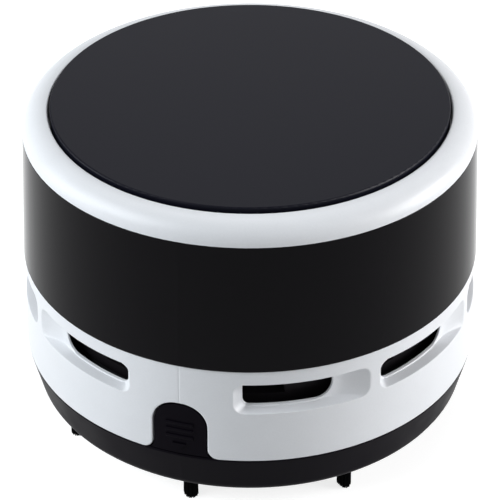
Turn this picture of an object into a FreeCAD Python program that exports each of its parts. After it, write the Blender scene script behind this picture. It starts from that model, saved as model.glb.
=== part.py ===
"""Desktop mini vacuum cleaner: a round housing with fan, motor and cells over a brushed dust tray.

Millimetres, +Z up. The origin is the centre of the footprint, on the surface that the tufts stand on.
The push tab is at the front, towards -Y. Azimuths are in degrees, from the front towards +X.
"""

import FreeCAD, Part
import math
import os

Vector = FreeCAD.Vector
UP = Vector(0, 0, 1)

# Cells, motor and what they need around them: these set the diameter and the height.
cell_radius = 7.1
cell_length = 50.5
cell_nub_radius = 2.75
cell_nub_height = 1.3
cell_side_gap = 0.6
cell_axis_height = 9.1
cell_passage_clearance = 0.45
spring_length = 3.9
motor_radius = 10.05
motor_flat_inset = 2.5
motor_can_length = 22.7
motor_cap_length = 2.4
motor_tail = 1.9
motor_nose = 1.5
motor_boss_radius = 3.0
motor_headroom = 1.75
motor_wall = 0.7
shaft_radius = 1.0
shaft_running_clearance = 0.05

# Outer shell, from the lid outwards and down.
lid_seat_width = 1.23
lid_gap = 0.38
lid_thickness = 1.6
lid_proud = 0.8
lid_skirt = 3.4
ring_width = 4.84
ring_rise = 3.9
band_draft = 1.15
band_inset = 0.35
band_foot_round = 0.15
housing_draft = 0.63
housing_height = 19.75
tray_height = 8.9
tuft_reach = 5.2
edge_round = 0.3
face_gap = 0.3

# Wall thicknesses.
band_wall = 1.6
housing_wall = 2.5
vent_belt_wall = 3.05
tray_floor = 1.6
tray_wall = 2.0
spigot_wall = 1.4
plate_thickness = 1.6
lid_skirt_wall = 1.2

# Air vents in the lower housing.
vent_rows = 4
vent_first_deg = 13.05
vent_pitch_deg = 38.35
vent_first_rib_deg = 48.55
vent_rib_deg = 2.8
vent_height = 6.2
vent_top_margin = 1.4
vent_depth = 2.1
vent_sill_rise = 0.45
vent_corner = 2.0
vent_near_ramp_deg = 2.1
vent_far_ramp_deg = 9.1
vent_lip = 0.15
vent_hole_corner = 1.3

# Push tab and its notch.
tab_half_width = 4.9
tab_height = 11.05
tab_gap = 0.35
tab_thickness = 1.4
tab_recess = 0.12
tab_foot_round = 2.0
tab_top_flat = 0.8
tab_root_gap = 0.3
tab_bead_radius = 0.75
tab_bead_half_length = 4.4
tab_bead_depth = 1.1
tab_bead_inset = 1.55
tab_bead_clearance = 0.08
tab_neck = 0.7
grip_height = 0.3
grip_bar = 0.65
grip_pitch = 1.45
grip_half_deg = 3.4
grip_rows = 3
tab_skin_half_deg = 30.0
arrow_half_width = 1.3
arrow_height = 1.3

# Dust tray.
tray_foot_taper = 2.2
tray_foot_round = 2.2
tray_shoulder = 1.1
tray_pocket = 0.8
spigot_height = 5.9
spigot_clearance = 0.3
inlet_radius = 7.0
inlet_round = 0.9
chimney_wall = 1.5
chimney_height = 11.8
tuft_count = 8
tuft_circle_inset = 6.0
tuft_radius = 1.5
tuft_root_depth = 3.8
tuft_socket_clearance = 0.05
tuft_boss_wall = 1.35
tuft_boss_roof = 1.4

# Fan and its housing.
fan_top_gap = 1.3
fan_bottom_gap = 0.7
fan_clearance = 3.6
fan_disc = 1.2
fan_blade_height = 4.7
fan_blade_thickness = 1.0
fan_blade_count = 9
fan_blade_root = 9.0
fan_blade_bow = 3.2
fan_blade_sweep_deg = -34.0
fan_hub_radius = 3.6
fan_hub_rise = 0.6
fan_floor = 1.2
fan_eye_radius = 15.0
shroud_gap = 2.35
shroud_wall = 1.5
shroud_wall_starts_deg = (26.5, 60.6, 98.6, 131.5)
shroud_wall_span_deg = 21.0
shroud_sill = 1.0
fan_boss_deg = 43.5
fan_boss_inset = 3.9
fan_boss_radius = 2.6
fan_boss_seat = 2.6

# Dust filter.
filter_rim = 2.4
filter_height = 2.2
filter_rib = 2.0
filter_rib_height = 1.2
filter_cloth = 0.6
clip_reach = 0.9
clip_wall = 1.0
clip_height = 0.7
clip_half_width = 2.5
clip_gap = 0.1
clip_count = 3

# Chassis with its cradles, walls and posts.
chassis_rim_wall = 1.4
chassis_rim_height = 2.9
chassis_clearance = 0.2
housing_rim_wall = 1.7
cradle_clearance = 0.2
cradle_wall = 1.4
cradle_rib = 1.6
cradle_rib_place = 15.0
motor_tube_height = 10.0
motor_tube_wall = 1.2
motor_tube_clearance = 0.15
end_wall = 1.6
end_wall_height = 14.4
end_wall_inner = 9.3
post_circle_inset = 6.9
post_radius = 2.7
post_azimuths = (0.0, 87.0, 160.0, 200.0, 273.0)
ear_radius = 3.2
ear_thickness = 1.7

# Screws.
screw_radius = 1.1
screw_clearance = 0.15
screw_bite_clearance = 0.05
screw_head_radius = 2.2
screw_head_height = 1.8
screw_bite = 9.0
fan_screw_head_height = 1.5
fan_screw_sink = 0.1
fan_screw_bite = 1.9

# Cell contacts and springs.
contact_thickness = 0.4
contact_half = 4.4
contact_tail_width = 3.0
contact_tail_height = 5.2
spring_wire_radius = 0.35
spring_base_radius = 3.6
spring_tip_radius = 2.4
spring_turns = 3
spring_stand = 0.02
spring_points_per_turn = 36

# Motor inside.
magnet_thickness = 2.4
magnet_gap = 0.15
magnet_half_deg = 40.0
magnet_margin = 3.0
magnet_length = 15.0
armature_gap = 0.6
armature_length = 12.0
armature_slot_radius = 1.6
armature_slots = 3
commutator_radius = 2.6
commutator_length = 3.0
terminal_offset = 3.2
terminal_inset = 2.05
terminal_half_width = 1.0
terminal_thickness = 0.4
terminal_height = 2.4

# Slide switch at the rear of the band.
switch_height = 12.9
switch_travel = 4.0
switch_half_width = 6.0
switch_half_height = 3.2
switch_depth = 4.7
switch_stem_half = 1.1
switch_stem_seat = 1.9
switch_front_inset = 4.4
switch_front_gap = 0.4
switch_lug_half_width = 0.9
switch_lug_thickness = 0.4
switch_lug_length = 2.5
switch_lug_offset = 2.5
switch_cheek = 1.3
switch_cheek_inset = 0.4
switch_cheek_gap = 0.1
switch_shelf = 1.4
knob_half_width = 3.4
knob_half_height = 2.2
knob_plate_half_width = 7.8
knob_plate_half_height = 3.6
knob_plate = 0.8
knob_sink = 0.15
knob_ridges = 3
knob_ridge_pitch = 1.6
knob_ridge_radius = 0.35
knob_round = 0.5
knob_clearance = 0.3

# Leads.
lead_radius = 0.6
lead_bend_share = 0.45
lead_over_cell_share = 1.6
lead_past_shoulder_share = 1.4

# The rear, where the shell's turning starts, clear of the vents and of the notch.
rear_azimuth = 180.0

# Allowances for cuts and joins.
overrun = 2.0
join_tolerance = 1e-6

# Radii that follow from the motor and the cells outwards.
motor_flat_half = motor_radius - motor_flat_inset
cell_offset = motor_flat_half + motor_tube_clearance + motor_tube_wall + cell_side_gap + cell_radius
contact_face = (cell_length + spring_length) / 2
cell_corner = math.hypot(cell_offset + cell_radius, contact_face - cell_nub_height)
lid_opening_radius = cell_corner + cell_passage_clearance
lid_radius = lid_opening_radius + lid_seat_width
ring_inner_radius = lid_radius + lid_gap
band_top_radius = ring_inner_radius + ring_width
band_foot_radius = band_top_radius + band_draft
shell_radius = band_foot_radius + band_inset
housing_top_radius = shell_radius - housing_draft
rabbet_radius = housing_top_radius - housing_rim_wall
chassis_radius = rabbet_radius - chassis_clearance
bore_radius = shell_radius - housing_wall
belt_radius = shell_radius - vent_belt_wall
spigot_radius = bore_radius - spigot_clearance
spigot_inner_radius = spigot_radius - spigot_wall
tuft_circle = shell_radius - tuft_circle_inset
post_circle = shell_radius - post_circle_inset
shroud_radius = belt_radius - shroud_gap
filter_radius = shroud_radius - clip_wall - clip_gap
fan_radius = shroud_radius - fan_boss_inset - fan_boss_radius - fan_clearance

# Places inside and on the motor.
magnet_outer_radius = motor_radius - motor_wall - magnet_gap
magnet_inner_radius = magnet_outer_radius - magnet_thickness
armature_radius = magnet_inner_radius - armature_gap
terminal_place = motor_radius - terminal_inset

# Heights that follow from the surface upwards.
foot_z = tuft_reach
floor_z = foot_z + tray_floor
seam_z = foot_z + tray_height
spigot_z = seam_z + spigot_height
chimney_z = foot_z + chimney_height
chassis_z = seam_z + housing_height
belt_z = chassis_z - plate_thickness
lid_under_z = chassis_z + motor_can_length + motor_cap_length + motor_tail + motor_headroom
lid_z = lid_under_z + lid_thickness
ring_z = lid_z - lid_proud
band_z = ring_z - ring_rise
lid_seat_z = lid_under_z - lid_skirt
fan_z = belt_z - fan_top_gap
blade_foot_z = fan_z - fan_disc - fan_blade_height
fan_floor_z = blade_foot_z - fan_bottom_gap
filter_top_z = fan_floor_z - fan_floor
filter_foot_z = filter_top_z - filter_height
vent_top_z = belt_z - vent_top_margin
vent_foot_z = vent_top_z - vent_height
cell_z = chassis_z + cell_axis_height
can_top_z = chassis_z + motor_can_length
cap_top_z = can_top_z + motor_cap_length
switch_z = chassis_z + switch_height


def shell_radius_at(z):
    """Radius of the lower housing's outer face at a height."""
    return shell_radius - housing_draft * (z - seam_z) / housing_height


def on_circle(radius, azimuth, z=0):
    """The point at a radius and azimuth."""
    angle = math.radians(azimuth)
    return Vector(radius * math.sin(angle), -radius * math.cos(angle), z)


def outline_wire(points):
    """A closed flat outline. Each point is (u, v), or (u, v, radius) for a rounded corner."""
    stops = []
    for index, point in enumerate(points):
        here = Vector(point[0], point[1], 0)
        if len(point) < 3:
            stops.append((here, None, here))
            continue
        before = points[index - 1]
        after = points[(index + 1) % len(points)]
        to_before = (Vector(before[0], before[1], 0) - here).normalize()
        to_after = (Vector(after[0], after[1], 0) - here).normalize()
        half_angle = to_before.getAngle(to_after) / 2
        reach = point[2] / math.tan(half_angle)
        inward = (to_before + to_after).normalize()
        middle = here + inward * (point[2] / math.sin(half_angle) - point[2])
        stops.append((here + to_before * reach, middle, here + to_after * reach))
    edges = []
    for index, (first, middle, last) in enumerate(stops):
        following = stops[(index + 1) % len(stops)][0]
        if middle is not None:
            edges.append(Part.Arc(first, middle, last).toShape())
        if last.distanceToPoint(following) > join_tolerance:
            edges.append(Part.LineSegment(last, following).toShape())
    return Part.Wire(edges)


def turned(points, first_azimuth=0, sweep=360):
    """A solid of revolution about Z from an outline of (radius, z) points."""
    face = Part.Face(outline_wire(points))
    face.rotate(Vector(0, 0, 0), Vector(1, 0, 0), 90)
    solid = face.revolve(Vector(0, 0, 0), UP, sweep)
    solid.rotate(Vector(0, 0, 0), UP, first_azimuth - 90)
    return solid


def plate(points, z_low, z_high):
    """An outline of (x, y) points raised from one height to another."""
    face = Part.Face(outline_wire(points))
    face.translate(Vector(0, 0, z_low))
    return face.extrude(Vector(0, 0, z_high - z_low))


def slab(points, y_low, y_high):
    """An outline of (x, z) points drawn out along Y."""
    face = Part.Face(outline_wire(points))
    face.rotate(Vector(0, 0, 0), Vector(1, 0, 0), 90)
    face.translate(Vector(0, y_low, 0))
    return face.extrude(Vector(0, y_high - y_low, 0))


def block(x_low, x_high, y_low, y_high, z_low, z_high):
    """A box between two corners."""
    return Part.makeBox(x_high - x_low, y_high - y_low, z_high - z_low, Vector(x_low, y_low, z_low))


def post(radius, place, z_low, z_high):
    """An upright cylinder at a place."""
    return Part.makeCylinder(radius, z_high - z_low, Vector(place.x, place.y, z_low))


def turned_to(shape, azimuth):
    """A copy of a shape that was drawn at the front, turned to an azimuth."""
    copy = shape.copy()
    copy.rotate(Vector(0, 0, 0), UP, azimuth)
    return copy


def joined(first, *others):
    """Solids fused into one, without the seams between them."""
    return first.multiFuse(list(others)).removeSplitter()


def mirrored_x(shape):
    """The mirror image across the plane x = 0."""
    return shape.mirror(Vector(0, 0, 0), Vector(1, 0, 0))


def save(name, shape):
    """Writes one piece, and prints its count of solids and its volume."""
    if not shape.isValid():
        raise ValueError(name + " is not a valid shape")
    shape.exportStep("parts/" + name + ".step")
    print("%-20s solids %2d  volume %9.2f" % (name, len(shape.Solids), shape.Volume))


# Tray.
def tuft_places():
    """The places of the tufts, one of them under the tab."""
    return [on_circle(tuft_circle, 360 * index / tuft_count) for index in range(tuft_count)]


tuft_root_z = foot_z + tuft_root_depth
bead_place = Vector(0, tab_bead_inset - shell_radius, seam_z - tab_bead_depth)


def dust_tray():
    """Floor, walls, spigot and inlet chimney in one turning, with tuft sockets and the tab's groove."""
    inner_radius = shell_radius - tray_foot_taper - tray_wall
    chimney_radius = inlet_radius + chimney_wall
    body = turned([
        (inlet_radius, foot_z, inlet_round),
        (shell_radius - tray_foot_taper, foot_z, tray_foot_round),
        (shell_radius, seam_z, edge_round),
        (spigot_radius, seam_z),
        (spigot_radius, spigot_z, edge_round),
        (spigot_inner_radius, spigot_z, edge_round),
        (spigot_inner_radius, seam_z - tray_shoulder),
        (spigot_inner_radius + tray_pocket, seam_z - tray_shoulder - tray_pocket),
        (inner_radius, floor_z),
        (chimney_radius, floor_z, chimney_wall / 2),
        (chimney_radius, chimney_z, edge_round),
        (inlet_radius, chimney_z, edge_round),
    ])
    bosses = []
    sockets = []
    for place in tuft_places():
        boss_radius = tuft_radius + tuft_boss_wall
        bosses.append(post(boss_radius, place, foot_z + tray_floor / 2, tuft_root_z + tuft_boss_roof))
        sockets.append(post(tuft_radius + tuft_socket_clearance, place, foot_z - overrun, tuft_root_z))
    groove_radius = tab_bead_radius + tab_bead_clearance
    groove_half = tab_bead_half_length + face_gap
    groove = Part.makeCylinder(
        groove_radius,
        2 * groove_half,
        bead_place - Vector(groove_half, 0, 0),
        Vector(1, 0, 0),
    )
    slot_half = tab_neck / 2 + tab_gap
    slot = block(-groove_half, groove_half, bead_place.y - slot_half, bead_place.y + slot_half,
                 bead_place.z, seam_z + overrun)
    return joined(body, *bosses).cut(sockets + [groove, slot])


def brush_tufts():
    """One upright bundle of bristles in each socket."""
    return Part.makeCompound([post(tuft_radius, place, 0, tuft_root_z) for place in tuft_places()])


# Push tab.
def tab_outline(gap, foot_z_here, foot_round):
    """The tab's front outline, grown by a gap: straight sides, a round top and flared feet."""
    half = tab_half_width + gap
    top = seam_z + tab_height + gap
    flare = half + foot_round + overrun
    top_round = tab_half_width - tab_top_flat / 2 + gap
    return [
        (-flare, foot_z_here - overrun),
        (-flare, foot_z_here),
        (-half, foot_z_here, foot_round),
        (-half, top, top_round),
        (half, top, top_round),
        (half, foot_z_here, foot_round),
        (flare, foot_z_here),
        (flare, foot_z_here - overrun),
    ]


def tab_skin(rise):
    """The curved layer that the tab's face lies in, raised by a height."""
    foot = seam_z + tab_root_gap
    top = seam_z + tab_height + overrun
    inner = housing_top_radius - tab_recess - tab_thickness
    return turned([
        (inner, foot),
        (shell_radius_at(foot) - tab_recess + rise, foot),
        (shell_radius_at(top) - tab_recess + rise, top),
        (inner, top),
    ], -tab_skin_half_deg, 2 * tab_skin_half_deg)


def release_tab():
    """The push tab with its grip bars and arrow, hung on a round bead."""
    outline = tab_outline(0, seam_z - tab_gap, tab_foot_round + tab_gap)
    face = slab(outline, -shell_radius - overrun, -bore_radius + tab_thickness).common(tab_skin(0))
    front = []
    for row in range(grip_rows):
        z_low = seam_z + tab_height / 2 + (row - 1) * grip_pitch - grip_bar / 2
        inner = shell_radius_at(z_low) - tab_thickness
        outer = shell_radius_at(z_low) - tab_recess + grip_height
        bar = turned([
            (inner, z_low), (outer, z_low, grip_bar / 3),
            (outer, z_low + grip_bar, grip_bar / 3), (inner, z_low + grip_bar),
        ], -grip_half_deg, 2 * grip_half_deg)
        front.append(bar)
    arrow_z = seam_z + tab_height / 2 - 2 * grip_pitch
    arrow = slab([
        (-arrow_half_width, arrow_z), (0, arrow_z - arrow_height), (arrow_half_width, arrow_z),
    ], -shell_radius - overrun, -bore_radius)
    front.append(arrow.common(tab_skin(grip_height)))
    bead = Part.makeCylinder(
        tab_bead_radius,
        2 * tab_bead_half_length,
        bead_place - Vector(tab_bead_half_length, 0, 0),
        Vector(1, 0, 0),
    )
    neck = block(-tab_bead_half_length, tab_bead_half_length,
                 bead_place.y - tab_neck / 2, bead_place.y + tab_neck / 2,
                 bead_place.z, seam_z + tab_root_gap + tab_neck)
    return joined(face, bead, neck, *front)


# Lower housing.
def vent_azimuths():
    """The first and last azimuth of each vent recess on one side."""
    spans = []
    for row in range(vent_rows):
        last_rib = vent_first_rib_deg + (row - 1) * vent_pitch_deg
        first = vent_first_deg if row == 0 else last_rib + vent_rib_deg / 2
        spans.append((first, last_rib + vent_pitch_deg - vent_rib_deg / 2))
    return spans


def vent_cutters(first, last):
    """One vent on the +X side: a sunk recess with sloped ends and sill, and the hole through it."""
    middle = (first + last) / 2
    floor_radius = shell_radius_at(vent_top_z) - vent_depth
    sill_z = vent_foot_z + vent_sill_rise
    near_in = on_circle(floor_radius, first + vent_near_ramp_deg - middle)
    near_edge = on_circle(shell_radius, first - middle)
    far_in = on_circle(floor_radius, last - vent_far_ramp_deg - middle)
    far_edge = on_circle(shell_radius, last - middle)
    depth_low = -shell_radius - overrun
    depth_high = near_edge.y + vent_belt_wall
    low = vent_foot_z - overrun
    high = vent_top_z + overrun
    recess = slab([
        (near_edge.x, vent_foot_z, vent_corner), (far_edge.x, vent_foot_z, vent_corner),
        (far_edge.x, vent_top_z, vent_corner), (near_edge.x, vent_top_z, vent_corner),
    ], depth_low, depth_high)
    near_way = (near_edge - near_in).normalize() * (3 * overrun)
    near_wedge = plate([
        (near_in.x - near_way.x, near_in.y - near_way.y),
        (near_edge.x + near_way.x, near_edge.y + near_way.y),
        (near_edge.x + near_way.x, depth_high + overrun),
    ], low, high)
    far_way = (far_edge - far_in).normalize() * (3 * overrun)
    far_wedge = plate([
        (far_in.x - far_way.x, far_in.y - far_way.y),
        (far_edge.x + far_way.x, far_edge.y + far_way.y),
        (far_edge.x + far_way.x, depth_high + overrun),
        (far_in.x - far_way.x, depth_high + overrun),
    ], low, high)
    slope = vent_sill_rise / vent_depth
    sill = turned([
        (floor_radius - overrun, low),
        (shell_radius + overrun, low - 2 * slope * overrun),
        (shell_radius + overrun, sill_z - (shell_radius + overrun - floor_radius) * slope),
        (floor_radius - overrun, sill_z + overrun * slope),
    ])
    core = post(floor_radius, Vector(0, 0, 0), low, high)
    recess = recess.cut([core, near_wedge, far_wedge, sill])
    hole_low = sill_z + vent_lip
    hole = slab([
        (near_in.x, hole_low, vent_hole_corner), (far_in.x, hole_low, vent_hole_corner),
        (far_in.x, vent_top_z), (near_in.x, vent_top_z),
    ], depth_low, depth_high)
    return [turned_to(recess, middle), turned_to(hole, middle)]


def post_places():
    """The places of the posts that tie ring, band, chassis and housing together."""
    return [on_circle(post_circle, azimuth) for azimuth in post_azimuths]


def lower_housing():
    """The white lower shell: thick at the vents, rebated for the chassis, notched for the tab."""
    body = turned([
        (shell_radius, seam_z, edge_round),
        (housing_top_radius, chassis_z, edge_round),
        (rabbet_radius, chassis_z),
        (rabbet_radius, belt_z),
        (belt_radius, belt_z),
        (belt_radius, vent_foot_z - vent_depth),
        (bore_radius, vent_foot_z - vent_depth - (bore_radius - belt_radius)),
        (bore_radius, seam_z, edge_round),
    ], rear_azimuth)
    ears = []
    holes = []
    for azimuth, place in zip(post_azimuths, post_places()):
        ear = joined(
            post(ear_radius, on_circle(post_circle, 0), belt_z - ear_thickness, belt_z),
            block(-ear_radius, ear_radius, -belt_radius - plate_thickness / 2, -post_circle,
                  belt_z - ear_thickness, belt_z),
        )
        ears.append(turned_to(ear, azimuth))
        holes.append(post(screw_radius + screw_clearance, place, belt_z - ear_thickness - overrun,
                          belt_z + overrun))
    recesses = []
    for first, last in vent_azimuths():
        recess, hole = vent_cutters(first, last)
        recesses.extend([recess, mirrored_x(recess)])
        holes.extend([hole, mirrored_x(hole)])
    notch = slab(tab_outline(tab_gap, seam_z, tab_foot_round), -shell_radius - overrun,
                 -belt_radius + overrun)
    return joined(body, *ears).cut(recesses + [notch]).cut(holes)


# Band, ring and lid.
def switch_window():
    """The slot in the band that the knob moves in."""
    half = knob_half_width + switch_travel / 2 + knob_clearance
    high = knob_half_height + knob_clearance
    return slab([
        (-half, switch_z - high, knob_round), (half, switch_z - high, knob_round),
        (half, switch_z + high, knob_round), (-half, switch_z + high, knob_round),
    ], post_circle, shell_radius + overrun)


def band_sleeve():
    """The gloss band, a tapered sleeve with the switch window at the rear."""
    sleeve = turned([
        (band_foot_radius, chassis_z, band_foot_round),
        (band_top_radius, band_z, edge_round),
        (band_top_radius - band_wall, band_z),
        (band_foot_radius - band_wall, chassis_z),
    ])
    return sleeve.cut(switch_window())


def ring_section():
    """The ring's section: a quarter ellipse over a collar, the lid's seat and a skirt inside the band."""
    collar = ring_inner_radius + plate_thickness
    skirt_radius = band_top_radius - band_wall - face_gap
    skirt_z = lid_seat_z - plate_thickness - lid_skirt
    centre_radius = ring_inner_radius + edge_round
    crown = Part.Ellipse(
        Vector(band_top_radius, band_z, 0),
        Vector(centre_radius, ring_z, 0),
        Vector(centre_radius, band_z, 0),
    )
    crown_edge = Part.ArcOfEllipse(crown, 0, math.pi / 2).toShape()
    inner = ring_inner_radius + edge_round * (1 - math.sin(math.pi / 4))
    lip = Part.Arc(
        Vector(centre_radius, ring_z, 0),
        Vector(inner, ring_z - edge_round * (1 - math.sin(math.pi / 4)), 0),
        Vector(ring_inner_radius, ring_z - edge_round, 0),
    ).toShape()
    corners = [
        (ring_inner_radius, ring_z - edge_round),
        (ring_inner_radius, lid_seat_z),
        (lid_opening_radius, lid_seat_z),
        (lid_opening_radius, lid_seat_z - plate_thickness),
        (collar, lid_seat_z - plate_thickness),
        (collar, skirt_z),
        (skirt_radius, skirt_z),
        (skirt_radius, band_z),
        (band_top_radius, band_z),
    ]
    edges = [crown_edge, lip]
    for start, end in zip(corners, corners[1:]):
        edges.append(Part.LineSegment(Vector(*start, 0), Vector(*end, 0)).toShape())
    return Part.Face(Part.Wire(Part.__sortEdges__(edges)))


def top_ring():
    """The rounded white ring with the lid's seat and its screw posts."""
    section = ring_section()
    section.rotate(Vector(0, 0, 0), Vector(1, 0, 0), 90)
    body = section.revolve(Vector(0, 0, 0), UP, 360)
    posts = []
    pilots = []
    for place in post_places():
        posts.append(post(post_radius, place, chassis_z, lid_seat_z - plate_thickness / 2))
        pilots.append(post(screw_radius + screw_bite_clearance, place, chassis_z - overrun,
                           chassis_z + screw_bite + overrun))
    return joined(body, *posts).cut(pilots)


def battery_lid():
    """The satin disc that closes the cell space, with a skirt that stands on the ring's seat."""
    return turned([
        (0, lid_under_z),
        (lid_radius - lid_skirt_wall, lid_under_z),
        (lid_radius - lid_skirt_wall, lid_seat_z),
        (lid_radius, lid_seat_z),
        (lid_radius, lid_z, edge_round),
        (0, lid_z),
    ])


# Chassis.
def cell_saddle(side, y_place):
    """A rib that holds a cell from below, on one side and at one place along it."""
    half = cell_radius + cradle_wall
    middle = side * cell_offset
    rib = block(middle - half, middle + half, y_place - cradle_rib / 2, y_place + cradle_rib / 2,
                chassis_z - plate_thickness / 2, cell_z)
    bore = Part.makeCylinder(
        cell_radius + cradle_clearance,
        2 * cradle_rib,
        Vector(middle, y_place - cradle_rib, cell_z),
        Vector(0, 1, 0),
    )
    return rib.cut(bore)


def motor_section(grow):
    """The motor's round section with two flats, grown by a clearance, as one tall prism."""
    tall = motor_can_length + motor_cap_length
    round_part = post(motor_radius + grow, Vector(0, 0, 0), chassis_z, chassis_z + tall)
    half = motor_flat_half + grow
    wide = motor_radius + grow + overrun
    return round_part.common(block(-half, half, -wide, wide, chassis_z, chassis_z + tall))


switch_front = shell_radius - switch_front_inset - switch_front_gap - knob_plate
switch_back = switch_front - switch_depth


def motor_chassis():
    """The carrier plate with its rim, cell cradles, contact walls, motor tube and switch stand."""
    base_z = chassis_z - plate_thickness / 2
    disc = turned([
        (0, belt_z),
        (chassis_radius, belt_z),
        (chassis_radius, chassis_z + chassis_rim_height),
        (chassis_radius - chassis_rim_wall, chassis_z + chassis_rim_height),
        (chassis_radius - chassis_rim_wall, chassis_z),
        (0, chassis_z),
    ])
    wall_half = cell_offset + cell_radius + cradle_clearance
    wall_face = contact_face + contact_thickness
    wall_top = chassis_z + end_wall_height
    tube_half = motor_flat_half + motor_tube_clearance + motor_tube_wall
    tube_deep = motor_radius + motor_tube_clearance + motor_tube_wall
    pieces = [
        block(-wall_half, wall_half, -wall_face - end_wall, -wall_face, base_z, wall_top),
        block(end_wall_inner, wall_half, wall_face, wall_face + end_wall, base_z, wall_top),
        block(-wall_half, -end_wall_inner, wall_face, wall_face + end_wall, base_z, wall_top),
        block(-tube_half, tube_half, -tube_deep, tube_deep, base_z, chassis_z + motor_tube_height),
    ]
    for side in (-1, 1):
        for y_place in (-cradle_rib_place, cradle_rib_place):
            pieces.append(cell_saddle(side, y_place))
        cheek = side * (switch_half_width + switch_cheek_gap + switch_cheek / 2)
        pieces.append(block(
            cheek - switch_cheek / 2, cheek + switch_cheek / 2,
            switch_back + switch_cheek_inset, switch_front - switch_cheek_inset,
            base_z, switch_z + switch_half_height,
        ))
    shelf_half = switch_half_width + switch_cheek_gap + switch_cheek
    pieces.append(block(-shelf_half, shelf_half, switch_back + switch_cheek_inset,
                        switch_front - switch_cheek_inset,
                        switch_z - switch_half_height - switch_shelf, switch_z - switch_half_height))
    cutters = [
        motor_section(motor_tube_clearance),
        post(motor_boss_radius + motor_tube_clearance, Vector(0, 0, 0), belt_z - overrun,
             chassis_z + overrun),
    ]
    for place in post_places():
        cutters.append(post(screw_radius + screw_clearance, place, belt_z - overrun, chassis_z + overrun))
    for place in fan_boss_places():
        pieces.append(post(fan_boss_radius, place, base_z, chassis_z + fan_boss_seat))
        cutters.append(post(screw_radius + screw_bite_clearance, place, belt_z - overrun,
                            chassis_z + fan_screw_bite + fan_screw_sink))
    return joined(disc, *pieces).cut(cutters)


# Fan housing and filter.
def shroud_wall_azimuths():
    """The first azimuth of each wall stretch around the fan, on both sides."""
    right = list(shroud_wall_starts_deg)
    left = [360 - start - shroud_wall_span_deg for start in right]
    return right + left


def fan_boss_places():
    """The places of the fan housing's four screw bosses, inside its wall stretches."""
    azimuths = (fan_boss_deg, 180 - fan_boss_deg, 180 + fan_boss_deg, 360 - fan_boss_deg)
    return [on_circle(shroud_radius - fan_boss_inset, azimuth) for azimuth in azimuths]


def filter_clip():
    """A hook at the front edge of the fan housing that grips the filter's rim."""
    lip_z = filter_foot_z - clip_gap - clip_height
    return slab([
        (-clip_half_width, lip_z), (clip_half_width, lip_z),
        (clip_half_width, fan_floor_z), (-clip_half_width, fan_floor_z),
    ], -shroud_radius, clip_reach + clip_wall - shroud_radius)


def fan_housing():
    """The dark floor under the fan with its eye, wall stretches, screw bosses and filter clips."""
    floor = turned([
        (fan_eye_radius, filter_top_z, edge_round),
        (shroud_radius, filter_top_z),
        (shroud_radius, fan_floor_z + shroud_sill),
        (shroud_radius - shroud_wall, fan_floor_z + shroud_sill),
        (shroud_radius - shroud_wall, fan_floor_z),
        (fan_eye_radius, fan_floor_z, edge_round),
    ])
    pieces = []
    cutters = []
    for azimuth in shroud_wall_azimuths():
        pieces.append(turned([
            (shroud_radius - shroud_wall, filter_top_z), (shroud_radius, filter_top_z),
            (shroud_radius, belt_z), (shroud_radius - shroud_wall, belt_z),
        ], azimuth, shroud_wall_span_deg))
    for place in fan_boss_places():
        pieces.append(post(fan_boss_radius, place, filter_top_z, belt_z))
        cutters.append(post(screw_radius + screw_clearance, place, filter_top_z - overrun,
                            belt_z + overrun))
        cutters.append(post(screw_head_radius + screw_clearance, place, filter_top_z - overrun,
                            filter_top_z + fan_screw_sink + fan_screw_head_height))
    rim = turned([
        (0, filter_foot_z - clip_gap), (filter_radius + clip_gap, filter_foot_z - clip_gap),
        (filter_radius + clip_gap, filter_top_z), (0, filter_top_z),
    ])
    for index in range(clip_count):
        pieces.append(turned_to(filter_clip(), 360 * index / clip_count).cut(rim))
    return joined(floor, *pieces).cut(cutters)


def filter_frame():
    """The filter's rim with two crossed ribs under the cloth."""
    inner = filter_radius - filter_rim
    rim = turned([
        (inner, filter_foot_z), (filter_radius, filter_foot_z),
        (filter_radius, filter_top_z), (inner, filter_top_z),
    ])
    reach = filter_radius - filter_rim / 2
    half = filter_rib / 2
    top = filter_foot_z + filter_rib_height
    return joined(rim, block(-reach, reach, -half, half, filter_foot_z, top),
                  block(-half, half, -reach, reach, filter_foot_z, top))


def filter_disc():
    """The filter cloth, lying on the ribs inside the rim."""
    low = filter_foot_z + filter_rib_height
    return post(filter_radius - filter_rim, Vector(0, 0, 0), low, low + filter_cloth)


# Fan.
def fan_blade():
    """One upright blade, bowed between the hub side and the rim."""
    tip_radius = fan_radius - fan_blade_thickness
    root = on_circle(fan_blade_root, 0)
    tip = on_circle(tip_radius, fan_blade_sweep_deg)
    along = (tip - root).normalize()
    across = Vector(-along.y, along.x, 0)
    middle = (root + tip) / 2 + across * fan_blade_bow
    step = across * (fan_blade_thickness / 2)
    edges = [
        Part.Arc(root + step, middle + step, tip + step).toShape(),
        Part.LineSegment(tip + step, tip - step).toShape(),
        Part.Arc(tip - step, middle - step, root - step).toShape(),
        Part.LineSegment(root - step, root + step).toShape(),
    ]
    face = Part.Face(Part.Wire(edges))
    face.translate(Vector(0, 0, blade_foot_z))
    return face.extrude(Vector(0, 0, fan_blade_height + fan_disc / 2))


def impeller():
    """A back disc with upright blades below it and a hub on the shaft."""
    disc = post(fan_radius, Vector(0, 0, 0), fan_z - fan_disc, fan_z)
    hub = post(fan_hub_radius, Vector(0, 0, 0), blade_foot_z, fan_z + fan_hub_rise)
    blades = [turned_to(fan_blade(), 360 * index / fan_blade_count) for index in range(fan_blade_count)]
    bore = post(shaft_radius, Vector(0, 0, 0), blade_foot_z - overrun, fan_z + fan_hub_rise + overrun)
    return joined(disc, hub, *blades).cut(bore)


# Motor.
bearing_radius = shaft_radius + shaft_running_clearance


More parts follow.
